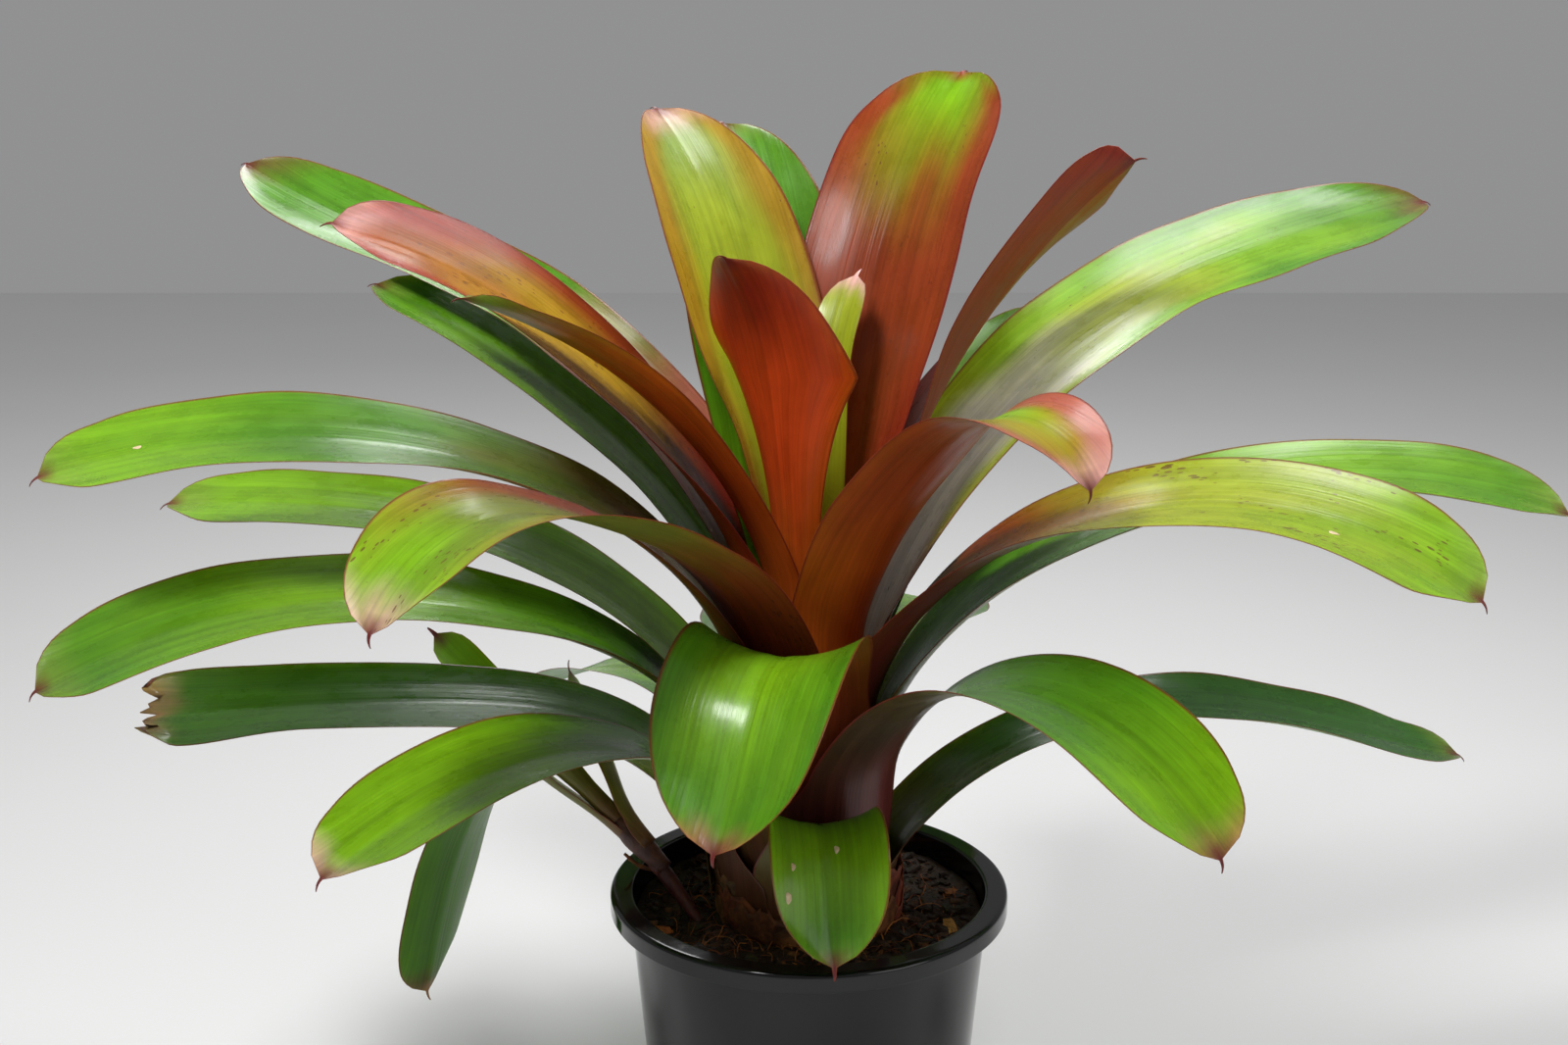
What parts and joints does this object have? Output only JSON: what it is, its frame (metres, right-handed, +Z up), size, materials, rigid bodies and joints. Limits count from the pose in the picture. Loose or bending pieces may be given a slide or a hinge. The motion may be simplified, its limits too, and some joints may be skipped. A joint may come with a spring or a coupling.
{
  "type": "potted bromeliad",
  "caption": "Broad-leaved bromeliad rosette with arching pointed leaves and a small side shoot, growing in bark mix in a round black nursery pot.",
  "frame": {"origin": "centre of the pot's underside, on the surface that it stands on", "axes": "+Z up along the pot, +X to the viewer's right, +Y away from the viewer"},
  "size_m": [0.7083, 0.4906, 0.5833],
  "materials": {
    "pot_plastic": "gloss",
    "potting_mix": "matte",
    "bark": "matte",
    "stem_tissue": "matte",
    "shoot_sheath": "satin",
    "leaf_green": "satin",
    "leaf_bronze": "satin",
    "leaf_red": "satin"
  },
  "bodies": {
    "root": {"pot": "pot_plastic", "soil": "potting_mix", "stem": "stem_tissue", "leaf_01": "leaf_green", "leaf_02": "leaf_green", "leaf_03": "leaf_green", "leaf_04": "leaf_green", "leaf_05": "leaf_green", "leaf_06": "leaf_green", "leaf_07": "leaf_green", "leaf_08": "leaf_green", "leaf_09": "leaf_green", "leaf_10": "leaf_green", "leaf_11": "leaf_green", "leaf_12": "leaf_green", "leaf_13": "leaf_green", "leaf_14": "leaf_green", "leaf_15": "leaf_green", "leaf_16": "leaf_green", "leaf_17": "leaf_bronze", "leaf_18": "leaf_green", "leaf_19": "leaf_green", "leaf_20": "leaf_green", "leaf_21": "leaf_bronze", "leaf_22": "leaf_green", "leaf_23": "leaf_bronze", "leaf_24": "leaf_red", "leaf_25": "leaf_green", "leaf_26": "leaf_red", "leaf_27": "leaf_bronze", "leaf_28": "leaf_green", "leaf_29": "leaf_red", "leaf_30": "leaf_green", "shoot_stem": "shoot_sheath", "shoot_leaf_1": "leaf_green", "shoot_leaf_2": "leaf_green", "shoot_leaf_3": "leaf_green", "dry_twig": "bark", "bark_1": "bark", "bark_2": "bark", "bark_3": "bark", "bark_4": "bark", "bark_5": "bark", "bark_6": "bark", "bark_7": "bark", "bark_8": "bark", "bark_9": "bark"}
  },
  "joints": []
}
